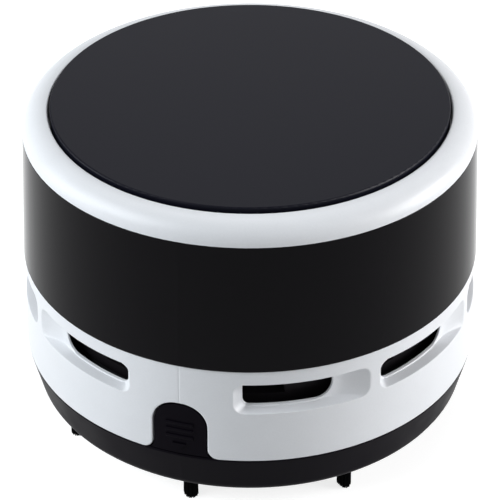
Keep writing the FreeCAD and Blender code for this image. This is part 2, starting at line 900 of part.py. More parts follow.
def motor_can():
    """The steel can, closed below with a nose that the shaft runs in."""
    tall = can_top_z - chassis_z
    outer = motor_section(0).common(
        post(motor_radius + overrun, Vector(0, 0, 0), chassis_z, can_top_z))
    inner = motor_section(-motor_wall).common(
        post(motor_radius, Vector(0, 0, 0), chassis_z + motor_wall, chassis_z + tall + overrun))
    nose = post(motor_boss_radius, Vector(0, 0, 0), chassis_z - motor_nose, chassis_z + motor_wall)
    bore = post(bearing_radius, Vector(0, 0, 0), chassis_z - motor_nose - overrun,
                chassis_z + motor_wall + overrun)
    return joined(outer.cut(inner), nose).cut(bore)


def motor_end_cap():
    """The nylon end cap with the tail bearing."""
    cap = motor_section(0).common(post(motor_radius + overrun, Vector(0, 0, 0), can_top_z, cap_top_z))
    tail = post(motor_boss_radius, Vector(0, 0, 0), cap_top_z - motor_wall, cap_top_z + motor_tail)
    bore = post(bearing_radius, Vector(0, 0, 0), can_top_z - overrun, cap_top_z + motor_tail / 2)
    return joined(cap, tail).cut(bore)


def motor_magnets():
    """Two arc magnets against the round sides of the can."""
    low = chassis_z + magnet_margin
    section = [
        (magnet_inner_radius, low), (magnet_outer_radius, low),
        (magnet_outer_radius, low + magnet_length), (magnet_inner_radius, low + magnet_length),
    ]
    return Part.makeCompound([
        turned(section, middle - magnet_half_deg, 2 * magnet_half_deg) for middle in (0, 180)
    ])


def motor_armature():
    """The slotted armature and the commutator above it, on the shaft."""
    low = chassis_z + magnet_margin + (magnet_length - armature_length) / 2
    top = low + armature_length
    body = post(armature_radius, Vector(0, 0, 0), low, top)
    commutator = post(commutator_radius, Vector(0, 0, 0), top - armature_slot_radius,
                      top + commutator_length)
    slots = []
    for index in range(armature_slots):
        place = on_circle(armature_radius - armature_slot_radius / 2, 360 * index / armature_slots)
        slots.append(post(armature_slot_radius, place, low - overrun, top + overrun))
    bore = post(shaft_radius, Vector(0, 0, 0), low - overrun, top + commutator_length + overrun)
    return joined(body.cut(slots), commutator).cut(bore)


def motor_shaft():
    """The shaft, from the fan's hub to the tail bearing."""
    return post(shaft_radius, Vector(0, 0, 0), blade_foot_z, cap_top_z + motor_tail / 2 - face_gap)


def motor_terminals():
    """Two upright solder tabs on the end cap, towards the rear."""
    tabs = []
    for side in (-1, 1):
        middle = side * terminal_offset
        tabs.append(block(middle - terminal_half_width, middle + terminal_half_width,
                          terminal_place, terminal_place + terminal_thickness,
                          cap_top_z, cap_top_z + terminal_height))
    return Part.makeCompound(tabs)


# Cells and contacts.
def cell(side, nub_to):
    """One cell on a side, with its nub against the contact at the front (-1) or the rear (1)."""
    middle = side * cell_offset
    nub_tip = nub_to * contact_face
    shoulder = nub_tip - nub_to * cell_nub_height
    foot = nub_tip - nub_to * cell_length
    can = turned_cell(cell_radius, middle, min(shoulder, foot), abs(shoulder - foot))
    can = can.makeFillet(edge_round, [edge for edge in can.Edges if edge.Closed])
    nub = turned_cell(cell_nub_radius, middle, min(shoulder, nub_tip), cell_nub_height)
    return joined(can, nub)


def turned_cell(radius, middle, y_low, length):
    """A round bar along Y at the cells' height."""
    return Part.makeCylinder(radius, length, Vector(middle, y_low, cell_z), Vector(0, 1, 0))


def contact_pad(side, end, tail):
    """A square contact plate against the end wall, with an upright tail if it carries a lead."""
    middle = side * cell_offset
    y_face = end * contact_face
    y_back = end * (contact_face + contact_thickness)
    y_low, y_high = min(y_face, y_back), max(y_face, y_back)
    pad = block(middle - contact_half, middle + contact_half, y_low, y_high,
                cell_z - contact_half, cell_z + contact_half)
    if not tail:
        return pad
    tail_middle = side * (cell_offset - contact_half + contact_tail_width / 2)
    half = contact_tail_width / 2
    return joined(pad, block(tail_middle - half, tail_middle + half, y_low, y_high,
                             cell_z, cell_z + contact_half + contact_tail_height))


def contact_bridge():
    """The front strip that joins the two cells in series."""
    y_face = -contact_face
    strip = block(-cell_offset, cell_offset, y_face - contact_thickness, y_face,
                  cell_z - contact_half / 2, cell_z + contact_half / 2)
    return joined(strip, contact_pad(-1, -1, False), contact_pad(1, -1, False))


def arc_pair(start, start_way, end, end_way):
    """Two arcs that join with one tangent, between two points with given directions."""
    chord = end - start
    ways = start_way + end_way
    spread = 2 * (1 - start_way.dot(end_way))
    along = chord.dot(ways)
    reach = (math.sqrt(along * along + spread * chord.dot(chord)) - along) / spread
    knee_in = start + start_way * reach
    knee_out = end - end_way * reach
    joint = (knee_in + knee_out) / 2
    arcs = []
    for first, knee, last in ((start, knee_in, joint), (joint, knee_out, end)):
        half_chord = (last - first) / 2
        foot = (first + last) / 2
        height = knee - foot
        half_angle = math.atan2(height.Length, half_chord.Length)
        bulge = half_chord.Length * math.tan(half_angle / 2)
        arcs.append(Part.Arc(first, foot + height.normalize() * bulge, last).toShape())
    return arcs


def spring_point(turn, side, end):
    """A point of the conical spring's wire line, and the direction of the wire there."""
    share = turn / spring_turns
    lean = (spring_tip_radius - spring_base_radius) / (2 * math.pi * spring_turns)
    base = contact_face - spring_wire_radius - spring_stand
    tip = contact_face - spring_length + spring_wire_radius + spring_stand
    radius = spring_base_radius + (spring_tip_radius - spring_base_radius) * share
    climb = (tip - base) / (2 * math.pi * spring_turns)
    angle = 2 * math.pi * turn
    place = Vector(side * cell_offset + radius * math.cos(angle),
                   end * (base + (tip - base) * share),
                   cell_z + radius * math.sin(angle))
    way = Vector(lean * math.cos(angle) - radius * math.sin(angle),
                 end * climb,
                 lean * math.sin(angle) + radius * math.cos(angle))
    return place, way.normalize()


def contact_spring(side, end):
    """The conical spring between a cell's flat end and its contact, as one unbroken wire."""
    edges = []
    quarters = 4 * spring_turns
    stops = [spring_point(spring_turns * step / quarters, side, end) for step in range(quarters + 1)]
    for (start, start_way), (finish, finish_way) in zip(stops, stops[1:]):
        edges.extend(arc_pair(start, start_way, finish, finish_way))
    line = Part.Wire(edges)
    start, start_way = stops[0]
    section = Part.Wire(Part.makeCircle(spring_wire_radius, start, start_way))
    shell = line.makePipeShell([section], True, False)
    steps = range(spring_points_per_turn * spring_turns + 1)
    points = [spring_point(step / spring_points_per_turn, side, end)[0] for step in steps]
    gaps = [
        points[here].distanceToPoint(points[there]) - 2 * spring_wire_radius
        for here in range(len(points))
        for there in range(here + spring_points_per_turn // 2, len(points))
    ]
    print("least gap between the spring's turns: %.2f mm" % min(gaps))
    return shell


# Switch.
switch_off = -switch_travel / 2


def switch_body():
    """The switch's body, with the channel that its stem moves in."""
    half = switch_stem_half + switch_travel / 2 + knob_clearance
    high = switch_stem_half + knob_clearance
    body = block(-switch_half_width, switch_half_width, switch_back, switch_front,
                 switch_z - switch_half_height, switch_z + switch_half_height)
    channel = block(-half, half, switch_front - switch_stem_seat - knob_clearance,
                    switch_front + overrun, switch_z - high, switch_z + high)
    return body.cut(channel)


def switch_lugs():
    """Two solder lugs on the back of the switch."""
    lugs = []
    for side in (-1, 1):
        middle = side * switch_lug_offset
        lugs.append(block(middle - switch_lug_half_width, middle + switch_lug_half_width,
                          switch_back - switch_lug_length, switch_back,
                          switch_z - switch_lug_thickness / 2, switch_z + switch_lug_thickness / 2))
    return Part.makeCompound(lugs)


def switch_stem():
    """The switch's own stem, in its off place."""
    return block(switch_off - switch_stem_half, switch_off + switch_stem_half,
                 switch_front - switch_stem_seat, switch_front + switch_front_gap,
                 switch_z - switch_stem_half, switch_z + switch_stem_half)


def switch_knob():
    """The ridged knob in the band's window, on a plate that keeps the window closed."""
    plate_y = switch_front + switch_front_gap
    shield = slab([
        (switch_off - knob_plate_half_width, switch_z - knob_plate_half_height, knob_round),
        (switch_off + knob_plate_half_width, switch_z - knob_plate_half_height, knob_round),
        (switch_off + knob_plate_half_width, switch_z + knob_plate_half_height, knob_round),
        (switch_off - knob_plate_half_width, switch_z + knob_plate_half_height, knob_round),
    ], plate_y, plate_y + knob_plate)
    front = shell_radius - knob_sink - knob_ridge_radius
    thumb = slab([
        (switch_off - knob_half_width, switch_z - knob_half_height, knob_round),
        (switch_off + knob_half_width, switch_z - knob_half_height, knob_round),
        (switch_off + knob_half_width, switch_z + knob_half_height, knob_round),
        (switch_off - knob_half_width, switch_z + knob_half_height, knob_round),
    ], plate_y + knob_plate / 2, front)
    ridges = []
    for index in range(knob_ridges):
        x = switch_off + (index - (knob_ridges - 1) / 2) * knob_ridge_pitch
        ridges.append(post(knob_ridge_radius, Vector(x, front, 0), switch_z - knob_half_height + knob_round,
                           switch_z + knob_half_height - knob_round))
    return joined(shield, thumb, *ridges)


# Leads.
def lead(points):
    """A held lead: straight runs joined by tangent arcs, as one round tube."""
    edges = []
    last = points[0]
    radii = []
    for before, here, after in zip(points, points[1:], points[2:]):
        into = (before - here).normalize()
        out = (after - here).normalize()
        half_turn = (math.pi - into.getAngle(out)) / 2
        shorter = min(before.distanceToPoint(here), after.distanceToPoint(here))
        reach = shorter * lead_bend_share
        radius = reach / math.tan(half_turn)
        start = here + into * reach
        end = here + out * reach
        inward = (into + out).normalize()
        middle = here + inward * (radius / math.cos(half_turn) - radius)
        edges.append(Part.LineSegment(last, start).toShape())
        edges.append(Part.Arc(start, middle, end).toShape())
        radii.append(radius)
        last = end
    edges.append(Part.LineSegment(last, points[-1]).toShape())
    line = Part.Wire(edges)
    section = Part.Wire(Part.makeCircle(lead_radius, points[0], points[1] - points[0]))
    tube = line.makePipeShell([section], True, True)
    expected = math.pi * lead_radius ** 2 * line.Length
    print("lead length %.1f mm, radii %s, volume ratio %.3f" % (
        line.Length, ", ".join("%.1f" % radius for radius in radii), tube.Volume / expected))
    return tube


terminal_face = terminal_place + terminal_thickness
terminal_z = cap_top_z + terminal_height / 2
tail_x = cell_offset - contact_half + contact_tail_width / 2
tail_z = cell_z + contact_half + contact_tail_height - 2 * lead_radius
lug_y = switch_back - switch_lug_length
lead_run = cell_radius - lead_radius


def lead_motor_cell():
    """From the motor's right tab, over the cell, to the right rear contact."""
    return lead([
        Vector(terminal_offset, terminal_face, terminal_z),
        Vector(terminal_offset, terminal_face + lead_run, terminal_z),
        Vector((terminal_offset + tail_x) / 2, contact_face - lead_over_cell_share * lead_run,
               (terminal_z + tail_z) / 2),
        Vector(tail_x, contact_face - lead_run, tail_z),
        Vector(tail_x, contact_face, tail_z),
    ])


def lead_motor_switch():
    """From the motor's left tab down to the switch's right lug."""
    return lead([
        Vector(-terminal_offset, terminal_face, terminal_z),
        Vector(-terminal_offset, terminal_face + lead_run, terminal_z),
        Vector(0, (terminal_face + lug_y) / 2, (terminal_z + switch_z) / 2),
        Vector(switch_lug_offset, lug_y - lead_run, switch_z),
        Vector(switch_lug_offset, lug_y, switch_z),
    ])


def lead_switch_cell():
    """From the switch's left lug, past the cell's shoulder, to the left rear contact."""
    return lead([
        Vector(-switch_lug_offset, lug_y, switch_z),
        Vector(-switch_lug_offset, lug_y - lead_run, switch_z),
        Vector(-(switch_lug_offset + tail_x) / 2, contact_face - lead_past_shoulder_share * lead_run,
               tail_z),
        Vector(-tail_x, contact_face - lead_run, tail_z),
        Vector(-tail_x, contact_face, tail_z),
    ])


# Screws.
def screw(place, head_z, head_height, tip_z):
    """A pan-head screw from below, with a crossed drive."""
    head = post(screw_head_radius, place, head_z, head_z + head_height)
    shank = post(screw_radius, place, head_z, tip_z)
    half = screw_radius / 4
    drive = [
        block(place.x - screw_radius, place.x + screw_radius, place.y - half, place.y + half,
              head_z - overrun, head_z + head_height / 2),
        block(place.x - half, place.x + half, place.y - screw_radius, place.y + screw_radius,
              head_z - overrun, head_z + head_height / 2),
    ]
    return joined(head, shank).cut(drive)


def chassis_screws():
    """The screws through the housing's ears and the chassis into the ring's posts."""
    head_z = belt_z - ear_thickness - screw_head_height
    return Part.makeCompound([
        screw(place, head_z, screw_head_height, chassis_z + screw_bite) for place in post_places()
    ])


def fan_screws():
    """The four screws through the fan housing's bosses into the chassis."""
    head_z = filter_top_z + fan_screw_sink
    return Part.makeCompound([
        screw(place, head_z, fan_screw_head_height, chassis_z + fan_screw_bite)
        for place in fan_boss_places()
    ])


def main():
    """Builds every piece and writes it."""
    os.makedirs("parts", exist_ok=True)
    save("dust_tray", dust_tray())
    save("brush_tufts", brush_tufts())
    save("release_tab", release_tab())
    save("lower_housing", lower_housing())
    save("band_sleeve", band_sleeve())
    save("top_ring", top_ring())
    save("battery_lid", battery_lid())
    save("motor_chassis", motor_chassis())
    save("fan_housing", fan_housing())
    save("filter_frame", filter_frame())
    save("filter_cloth", filter_disc())
    save("impeller", impeller())
    save("motor_can", motor_can())
    save("motor_end_cap", motor_end_cap())
    save("motor_magnets", motor_magnets())
    save("motor_armature", motor_armature())
    save("motor_shaft", motor_shaft())
    save("motor_terminals", motor_terminals())
    save("battery_left", cell(-1, -1))
    save("battery_right", cell(1, 1))
    save("contact_bridge", contact_bridge())
    save("contact_rear_left", contact_pad(-1, 1, True))
    save("contact_rear_right", contact_pad(1, 1, True))
    save("spring_front", contact_spring(1, -1))
    save("spring_rear", contact_spring(-1, 1))
    save("switch_body", switch_body())
    save("switch_lugs", switch_lugs())
    save("switch_stem", switch_stem())
    save("switch_knob", switch_knob())
    save("lead_motor_cell", lead_motor_cell())
    save("lead_motor_switch", lead_motor_switch())
    save("lead_switch_cell", lead_switch_cell())
    save("chassis_screws", chassis_screws())
    save("fan_screws", fan_screws())
    print("diameter %.2f, height %.2f" % (2 * shell_radius, lid_z))


main()
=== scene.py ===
"""Looks of the desktop mini vacuum cleaner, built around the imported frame.

Metres, +Z up, in the frame's own place. Azimuths start at the front (-Y, the push tab) and
turn towards +X. Those written down are in degrees, and the functions take radians.
"""

import math
import random

import bmesh
import bpy
import numpy as np
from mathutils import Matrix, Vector


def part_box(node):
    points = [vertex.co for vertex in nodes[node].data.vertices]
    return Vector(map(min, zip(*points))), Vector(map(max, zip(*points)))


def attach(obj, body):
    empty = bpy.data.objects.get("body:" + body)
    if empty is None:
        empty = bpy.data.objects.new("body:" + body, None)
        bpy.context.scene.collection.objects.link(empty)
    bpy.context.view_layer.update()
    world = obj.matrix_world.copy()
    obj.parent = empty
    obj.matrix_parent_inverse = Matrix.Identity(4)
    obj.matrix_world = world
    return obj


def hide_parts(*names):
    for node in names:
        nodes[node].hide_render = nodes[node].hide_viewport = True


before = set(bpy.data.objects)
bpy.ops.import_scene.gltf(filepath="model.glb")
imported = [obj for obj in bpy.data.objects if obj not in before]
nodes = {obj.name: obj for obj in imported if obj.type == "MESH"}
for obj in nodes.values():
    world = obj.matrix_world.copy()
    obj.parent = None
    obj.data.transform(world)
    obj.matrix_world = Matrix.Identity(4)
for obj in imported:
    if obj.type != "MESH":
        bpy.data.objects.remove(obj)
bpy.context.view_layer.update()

# Camera, at the photograph's viewing angle.
camera_azimuth = 17.05
camera_elevation = 34.27
camera_distance = 0.42006
camera_target_height = 0.03053
camera_sensor = 36.0
camera_lens = 157.28
camera_clip = 0.01

# Heights and radii read from the frame.
seam_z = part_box("lower_housing")[0].z
housing_top_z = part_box("lower_housing")[1].z
shell_radius = (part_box("lower_housing")[1].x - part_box("lower_housing")[0].x) / 2
tuft_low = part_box("brush_tufts")[0]
tuft_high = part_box("brush_tufts")[1]

# Lower housing, as built.
housing_draft = 0.00063
housing_wall = 0.0025
belt_wall = 0.00305
chassis_edge = 0.0016
belt_z = housing_top_z - chassis_edge
rim_wall = 0.0017
edge_round = 0.00018
crease_angle = 40
parting_depth = 0.00004
parting_width = 0.00008

# Vents: a sunk recess with a hole through it, four on each side.
vent_spans = ((13.05, 47.15), (49.95, 85.5), (88.3, 123.85), (126.65, 162.2))
vent_top_margin = 0.0014
vent_top_z = belt_z - vent_top_margin
vent_height = 0.0062
vent_depth = 0.0021
vent_sill_rise = 0.00045
vent_lip = 0.00015
vent_near_ramp = 2.1
vent_far_ramp = 9.1
vent_far_hollow = 1.8
vent_corner = 0.002
vent_top_corner = 0.0019
vent_hole_corner = 0.0013
vent_far_corner = 0.0034
vent_edge = 0.0002
vent_edge_width = 0.0011
vent_blend = 0.00025
vent_soften = 0.0001
vent_valley_share = 0.55
ledge_round = 0.0002

# Spacing of the lower housing's mesh: along the girth, then up the height.
parting_stops = (0.0, 0.00005, 0.00012, 0.0003)
notch_step = 0.0003
near_step = 0.00013
far_step = 0.00018
wide_step = 0.0006
rear_step = 0.0008
low_step = 0.0004
sill_step = 0.00003
sill_reach = 0.0002
sill_gap = 0.00008
top_reach = 0.0007
top_stops = (0.00066, 0.00054, 0.00043, 0.00033, 0.00024, 0.00016, 0.00009, 0.00004, 0.00001)
ledge_steps = (0.15, 0.4, 0.7, 1, 1.5)

# How its mesh is cut, filleted and cleaned.
layer_gap = 1e-6
fillet_steps = 3
settle_nudge = 1e-5
settle_rounds = 6
least_slope = 0.25
merge_distance = 2e-6
least_edge = 1e-7

# Push tab and its notch.
tab_half = 0.0049
tab_height = 0.01105
tab_gap = 0.00035
tab_top_flat = 0.0008
tab_foot_round = 0.002


def folded(azimuth):
    """An azimuth in radians, mirrored to the +X side."""
    return np.abs((azimuth + math.pi) % (2 * math.pi) - math.pi)


def shell_radius_at(z):
    """Radius of the lower housing's outer face at a height."""
    return shell_radius - housing_draft * (z - seam_z) / (housing_top_z - seam_z)


def rounded_meet(a, b, radius):
    """Distance inside a corner of two edges, with the corner rounded."""
    u = np.maximum(radius - a, 0)
    v = np.maximum(radius - b, 0)
    return np.where((u > 0) & (v > 0), radius - np.hypot(u, v), np.minimum(a, b))


def soft_min(a, b, width):
    """The lower of two values, blended where they are close."""
    share = np.clip(0.5 + 0.5 * (b - a) / width, 0, 1)
    return b * (1 - share) + a * share - width * share * (1 - share)


def corner_inset(distance, radius):
    """How far a rounded corner stands in from one side, at a distance from the other."""
    near = np.clip(radius - distance, 0, radius)
    return radius - np.sqrt(radius ** 2 - near ** 2)


# Lower housing with its vents.
def vent_recess(azimuth, z):
    """Depth of the vent recesses below the outer face."""
    side = folded(azimuth)
    from_top = vent_top_z - z
    from_foot = z - (vent_top_z - vent_height)
    depth = np.zeros_like(z)
    for first, last in vent_spans:
        near = shell_radius * (side - math.radians(first))
        far = shell_radius * (math.radians(last) - side)
        near_width = shell_radius * math.radians(vent_near_ramp)
        far_width = shell_radius * math.radians(vent_far_ramp)
        near = near - corner_inset(from_top, vent_top_corner) - corner_inset(from_foot, vent_corner)
        far = far - corner_inset(from_top, vent_corner) - corner_inset(from_foot, vent_corner)
        hollow = 1 - np.clip(1 - far / far_width, 0, None) ** vent_far_hollow
        sunk = soft_min(near * vent_depth / near_width, hollow * vent_depth, vent_blend)
        above_sill = from_foot * vent_depth / vent_sill_rise
        valley = np.clip(np.minimum(sunk, above_sill), 0, vent_depth / 2)
        valley = vent_blend + vent_valley_share * valley
        sunk = soft_min(sunk, above_sill, valley)
        sunk = soft_min(sunk, np.full_like(z, vent_depth), vent_blend)
        sunk = -soft_min(-sunk, np.zeros_like(z), vent_soften)
        depth = np.maximum(depth, np.where(from_top >= 0, sunk, 0))
    return depth


def vent_hole_margin(azimuth, z):
    """Distance outside the nearest vent hole, negative inside it."""
    side = folded(azimuth)
    low = vent_top_z - vent_height + vent_sill_rise + vent_lip
    margin = np.full_like(z, 1.0)
    below = low - z
    above = z - vent_top_z
    for first, last in vent_spans:
        near = shell_radius * (math.radians(first + vent_near_ramp) - side)
        far = shell_radius * (side - math.radians(last - vent_far_ramp))
        across = np.maximum(near, far)
        corner = np.where(far > near, vent_far_corner, vent_hole_corner)
        u = across + corner
        v = below + corner
        beside = (u > 0) & (v > 0)
        sides = np.where(beside, np.hypot(u, v) - corner, np.maximum(across, below))
        outside = (sides > 0) & (above > 0)
        around = np.where(outside, np.hypot(sides, above), np.maximum(sides, above))
        margin = np.minimum(margin, around)
    return margin


def housing_margin(azimuth, z):
    """Distance inside the housing's edges: top, seam, notch and vent holes."""
    across = shell_radius * folded(azimuth)
    notch_top = seam_z + tab_height + tab_gap
    half = tab_half + tab_gap
    arch = rounded_meet(half - across, notch_top - z, half - tab_top_flat / 2)
    body = rounded_meet(-arch, z - seam_z, tab_foot_round)
    return np.minimum(np.minimum(body, housing_top_z - z), vent_hole_margin(azimuth, z))


def curved_panel(name, azimuths, heights, outer, inner, margin, fillet):
    """A round shell cut along the line where margin is zero, with its outer edges filleted.

    heights holds (z, ledge) rows. outer and inner give radii from azimuth, z and ledge.
    """
    steps = fillet_steps
    nudge = settle_nudge
    columns, rows = len(azimuths), len(heights)
    turn, z = np.meshgrid(np.array(azimuths), np.array([row[0] for row in heights]))
    ledge = np.repeat(np.array([row[1] for row in heights])[:, None], columns, axis=1)
    start = margin(turn, z)
    on_line = np.isclose(start, fillet)

    def mark(here, there, first, second):
        crosses = (here - fillet) * (there - fillet) < 0
        span = np.where(crosses, there - here, 1)
        share = (fillet - here) / span
        first |= crosses & (share < 0.5)
        second |= crosses & (share >= 0.5)

    mark(start[:-1], start[1:], on_line[:-1], on_line[1:])
    mark(start[:, :-1], start[:, 1:], on_line[:, :-1], on_line[:, 1:])
    mark(start[:, -1], start[:, 0], on_line[:, -1], on_line[:, 0])

    def settle(turn, z, level):
        for _ in range(settle_rounds):
            here = margin(turn, z)
            aside = nudge / shell_radius
            slope_u = (margin(turn + aside, z) - margin(turn - aside, z)) / (2 * nudge)
            slope_z = (margin(turn, z + nudge) - margin(turn, z - nudge)) / (2 * nudge)
            step = (here - level) / np.maximum(slope_u ** 2 + slope_z ** 2, least_slope)
            turn = turn - step * slope_u / shell_radius
            z = z - step * slope_z
        return turn, z

    line_turn, line_z = settle(turn[on_line], z[on_line], fillet)
    turn[on_line] = line_turn
    z[on_line] = line_z
    state = np.where(on_line, 0, np.where(start > fillet, 1, -1)).ravel()

    faces = []
    for i in range(rows - 1):
        for j in range(columns):
            k = (j + 1) % columns
            here, above = i * columns, (i + 1) * columns
            corners = [here + j, here + k, above + k, above + j]
            kept = [corner for corner in corners if state[corner] >= 0]
            if len(kept) >= 3 and any(state[corner] > 0 for corner in kept):
                faces.append(kept)
    directed = {}
    for face in faces:
        for a, b in zip(face, face[1:] + face[:1]):
            directed[(a, b)] = True
    rim = [(a, b) for a, b in directed if (b, a) not in directed]
    rim_points = sorted({corner for edge in rim for corner in edge})
    rim_place = {corner: index for index, corner in enumerate(rim_points)}

    def points(turn, radius, z):
        return np.stack([radius * np.sin(turn), -radius * np.cos(turn), z], axis=-1).reshape(-1, 3)

    flat_turn, flat_z, flat_ledge = turn.ravel(), z.ravel(), ledge.ravel()
    outer_radius = outer(turn, z, ledge).ravel()
    layers = [points(flat_turn, outer_radius, flat_z)]
    edge_turn, edge_z = flat_turn[rim_points], flat_z[rim_points]
    for step in range(1, steps + 1):
        angle = math.pi / 2 * step / steps
        edge_turn, edge_z = settle(edge_turn, edge_z, fillet * (1 - math.sin(angle)))
        sunk = outer_radius[rim_points] - fillet * (1 - math.cos(angle))
        layers.append(points(edge_turn, sunk, edge_z))
    inner_turn, inner_z = flat_turn.copy(), flat_z.copy()
    inner_turn[rim_points] = edge_turn
    inner_z[rim_points] = edge_z
    layers.append(points(inner_turn, inner(inner_turn, inner_z, flat_ledge), inner_z))

    count, rim_count = len(flat_z), len(rim_points)
    all_faces = list(faces)
    inner_base = count + steps * rim_count
    for a, b in rim:
        chain_a, chain_b = (
            [end, *(count + step * rim_count + rim_place[end] for step in range(steps)),
             inner_base + end]
            for end in (a, b)
        )
        for step in range(steps + 1):
            all_faces.append([chain_b[step], chain_a[step], chain_a[step + 1], chain_b[step + 1]])
    for face in faces:
        all_faces.append([inner_base + corner for corner in reversed(face)])
    return mesh_piece(name, np.concatenate(layers), all_faces)


def mesh_piece(name, points, faces, crease=math.radians(crease_angle), merge=True):
    """A mesh object from points and faces, merged, smooth but for edges sharper than the crease."""
    mesh = bpy.data.meshes.new(name)
    mesh.from_pydata([tuple(point) for point in points], [], faces)
    if merge:
        work = bmesh.new()
        work.from_mesh(mesh)
        bmesh.ops.remove_doubles(work, verts=work.verts, dist=merge_distance)
        bmesh.ops.dissolve_degenerate(work, edges=work.edges, dist=least_edge)
        loose = [vert for vert in work.verts if not vert.link_faces]
        bmesh.ops.delete(work, geom=loose, context="VERTS")
        work.to_mesh(mesh)
        work.free()
    mesh.polygons.foreach_set("use_smooth", [True] * len(mesh.polygons))
    mesh.set_sharp_from_angle(angle=crease)
    piece = bpy.data.objects.new(name, mesh)
    bpy.context.scene.collection.objects.link(piece)
    return piece


def housing_shell():
    """The white lower shell with softly sunk vents and the notch for the tab."""
    stops = list(parting_stops)
    reach = tab_half + 3 * tab_foot_round
    stops.extend(np.arange(wide_step, reach, notch_step))
    for first, last in vent_spans:
        near, far = shell_radius * math.radians(first), shell_radius * math.radians(last)
        near_end = near + shell_radius * math.radians(vent_near_ramp) + vent_hole_corner
        far_start = far - shell_radius * math.radians(vent_far_ramp) - vent_hole_corner
        stops.extend(np.arange(near - wide_step, near_end, near_step))
        stops.extend(np.arange(near_end, far_start, wide_step))
        stops.extend(np.arange(far_start, far + wide_step, far_step))
    stops.extend(np.arange(far + wide_step, math.pi * shell_radius, rear_step))
    side = np.unique(np.round(stops, 7)) / shell_radius
    azimuths = np.sort(np.concatenate([side, -side[side > 0]]))
    foot = vent_top_z - vent_height
    sill_rows = list(np.arange(foot - sill_reach, foot + vent_sill_rise + sill_reach, sill_step))
    vent_rows = list(np.arange(sill_rows[-1] + sill_gap, vent_top_z - top_reach, near_step))
    top_rows = list(vent_top_z - np.array(top_stops))
    low_rows = list(np.arange(seam_z, sill_rows[0] - sill_reach, low_step))
    high_rows = [vent_top_z + ledge_round * step for step in ledge_steps]
    high_rows += [vent_top_z + wide_step, belt_z]
    rows = [(z, False) for z in low_rows + sill_rows + vent_rows + top_rows]
    rows.append((vent_top_z, False))
    rows.append((vent_top_z, True))
    rows.extend((z, True) for z in high_rows)
    rows.append((belt_z + layer_gap, True))
    rows.extend((z, True) for z in (housing_top_z - edge_round, housing_top_z))

    def outer(azimuth, z, ledge):
        parting_line = parting_depth * np.exp(-(shell_radius * azimuth / parting_width) ** 2)
        below = vent_recess(azimuth, np.minimum(z, vent_top_z))
        turned = corner_inset(np.maximum(z - vent_top_z, 0), ledge_round)
        turned = turned * np.clip(below / ledge_round, 0, 1)
        return shell_radius_at(z) - np.where(ledge, turned, below) - parting_line

    def inner(azimuth, z, ledge):
        bore = shell_radius - housing_wall
        belt = shell_radius - belt_wall
        cone_foot = vent_top_z - vent_height - vent_depth - (bore - belt)
        sloped = bore - np.clip(z - cone_foot, 0, bore - belt)
        beside = np.clip(2 - vent_hole_margin(azimuth, z) / vent_edge_width, 0, 1)
        thin = shell_radius_at(vent_top_z) - vent_depth - vent_edge
        thinned = sloped + (thin - sloped) * beside
        rabbet = shell_radius - housing_draft - rim_wall
        wall = np.where(ledge, sloped, np.maximum(thinned, sloped))
        return np.where(z > belt_z + layer_gap / 2, rabbet, wall)

    return curved_panel("housing_shell", azimuths, rows, outer, inner, housing_margin, edge_round)


# Brush tufts.
tuft_count = 8
tuft_radius = 0.0015
tuft_circle = (tuft_high.x - tuft_low.x) / 2 - tuft_radius
tuft_root_share = 0.93
tuft_slant = 0.0002
tuft_cut = {0: (-0.0007, 0.0), 1: (0.0, 0.0009), 7: (0.0, 0.0)}
filament_radius = 0.00014
filament_pitch = 0.00028
filament_row_share = 0.87
filament_stray = 0.00003
filament_uneven = 0.00012
filament_sides = 6
filament_levels = ((0.0, 0.7), (0.012, 1.0), (1.0, 1.0))


def tube_ring(centre, along, radius, sides):
    """Points of a ring around a centre, square to a direction."""
    across = along.orthogonal().normalized()
    other = along.cross(across).normalized()
    turns = [2 * math.pi * k / sides for k in range(sides)]
    return [centre + (across * math.cos(turn) + other * math.sin(turn)) * radius for turn in turns]


def tuft_filaments():
    """Eight bundles of straight nylon filaments, with the ends cut a little unevenly."""
    chance = random.Random(7)
    points, faces = [], []
    foot, root = tuft_low.z, tuft_high.z
    sides = filament_sides
    for index in range(tuft_count):
        angle = math.radians(360 / tuft_count * index)
        middle = Vector((tuft_circle * math.sin(angle), -tuft_circle * math.cos(angle), 0))
        across = Vector((math.cos(angle), math.sin(angle), 0))
        inward = Vector((-math.sin(angle), math.cos(angle), 0))
        slant, peak = tuft_cut.get(index, (tuft_slant * chance.uniform(-1, 1), 0.0))
        reach = tuft_radius - filament_radius
        steps = int(reach / filament_pitch) + 1
        for row in range(-steps, steps + 1):
            for column in range(-steps, steps + 1):
                u = (column + 0.5 * (row % 2)) * filament_pitch
                u += chance.uniform(-1, 1) * filament_stray
                v = row * filament_pitch * filament_row_share
                v += chance.uniform(-1, 1) * filament_stray
                if math.hypot(u, v) > reach:
                    continue
                share = u / tuft_radius
                tip_z = foot + max(slant * share, 0) + peak * share ** 2
                tip_z += filament_uneven * chance.random() ** 2
                tip = middle + across * u + inward * v + Vector((0, 0, tip_z))
                top = middle + across * u * tuft_root_share + inward * v * tuft_root_share
                top += Vector((0, 0, root))
                along = (top - tip).normalized()
                start = len(points)
                for share_up, width in filament_levels:
                    centre = tip.lerp(top, share_up)
                    points.extend(tube_ring(centre, along, filament_radius * width, sides))
                faces.append([start + k for k in reversed(range(sides))])
                for level in range(len(filament_levels) - 1):
                    low = start + level * sides
                    for k in range(sides):
                        n = (k + 1) % sides
                        faces.append([low + k, low + n, low + sides + n, low + sides + k])
    return mesh_piece("tuft_filaments", points, faces, merge=False)


# Materials, by the name of their slot.
looks = {}
coat_roughness = 0.05
least_roughness = 0.02
noise_low = 0.3
noise_high = 0.7
fine_share = 0.5
fine_detail = 2
wide_detail = 3


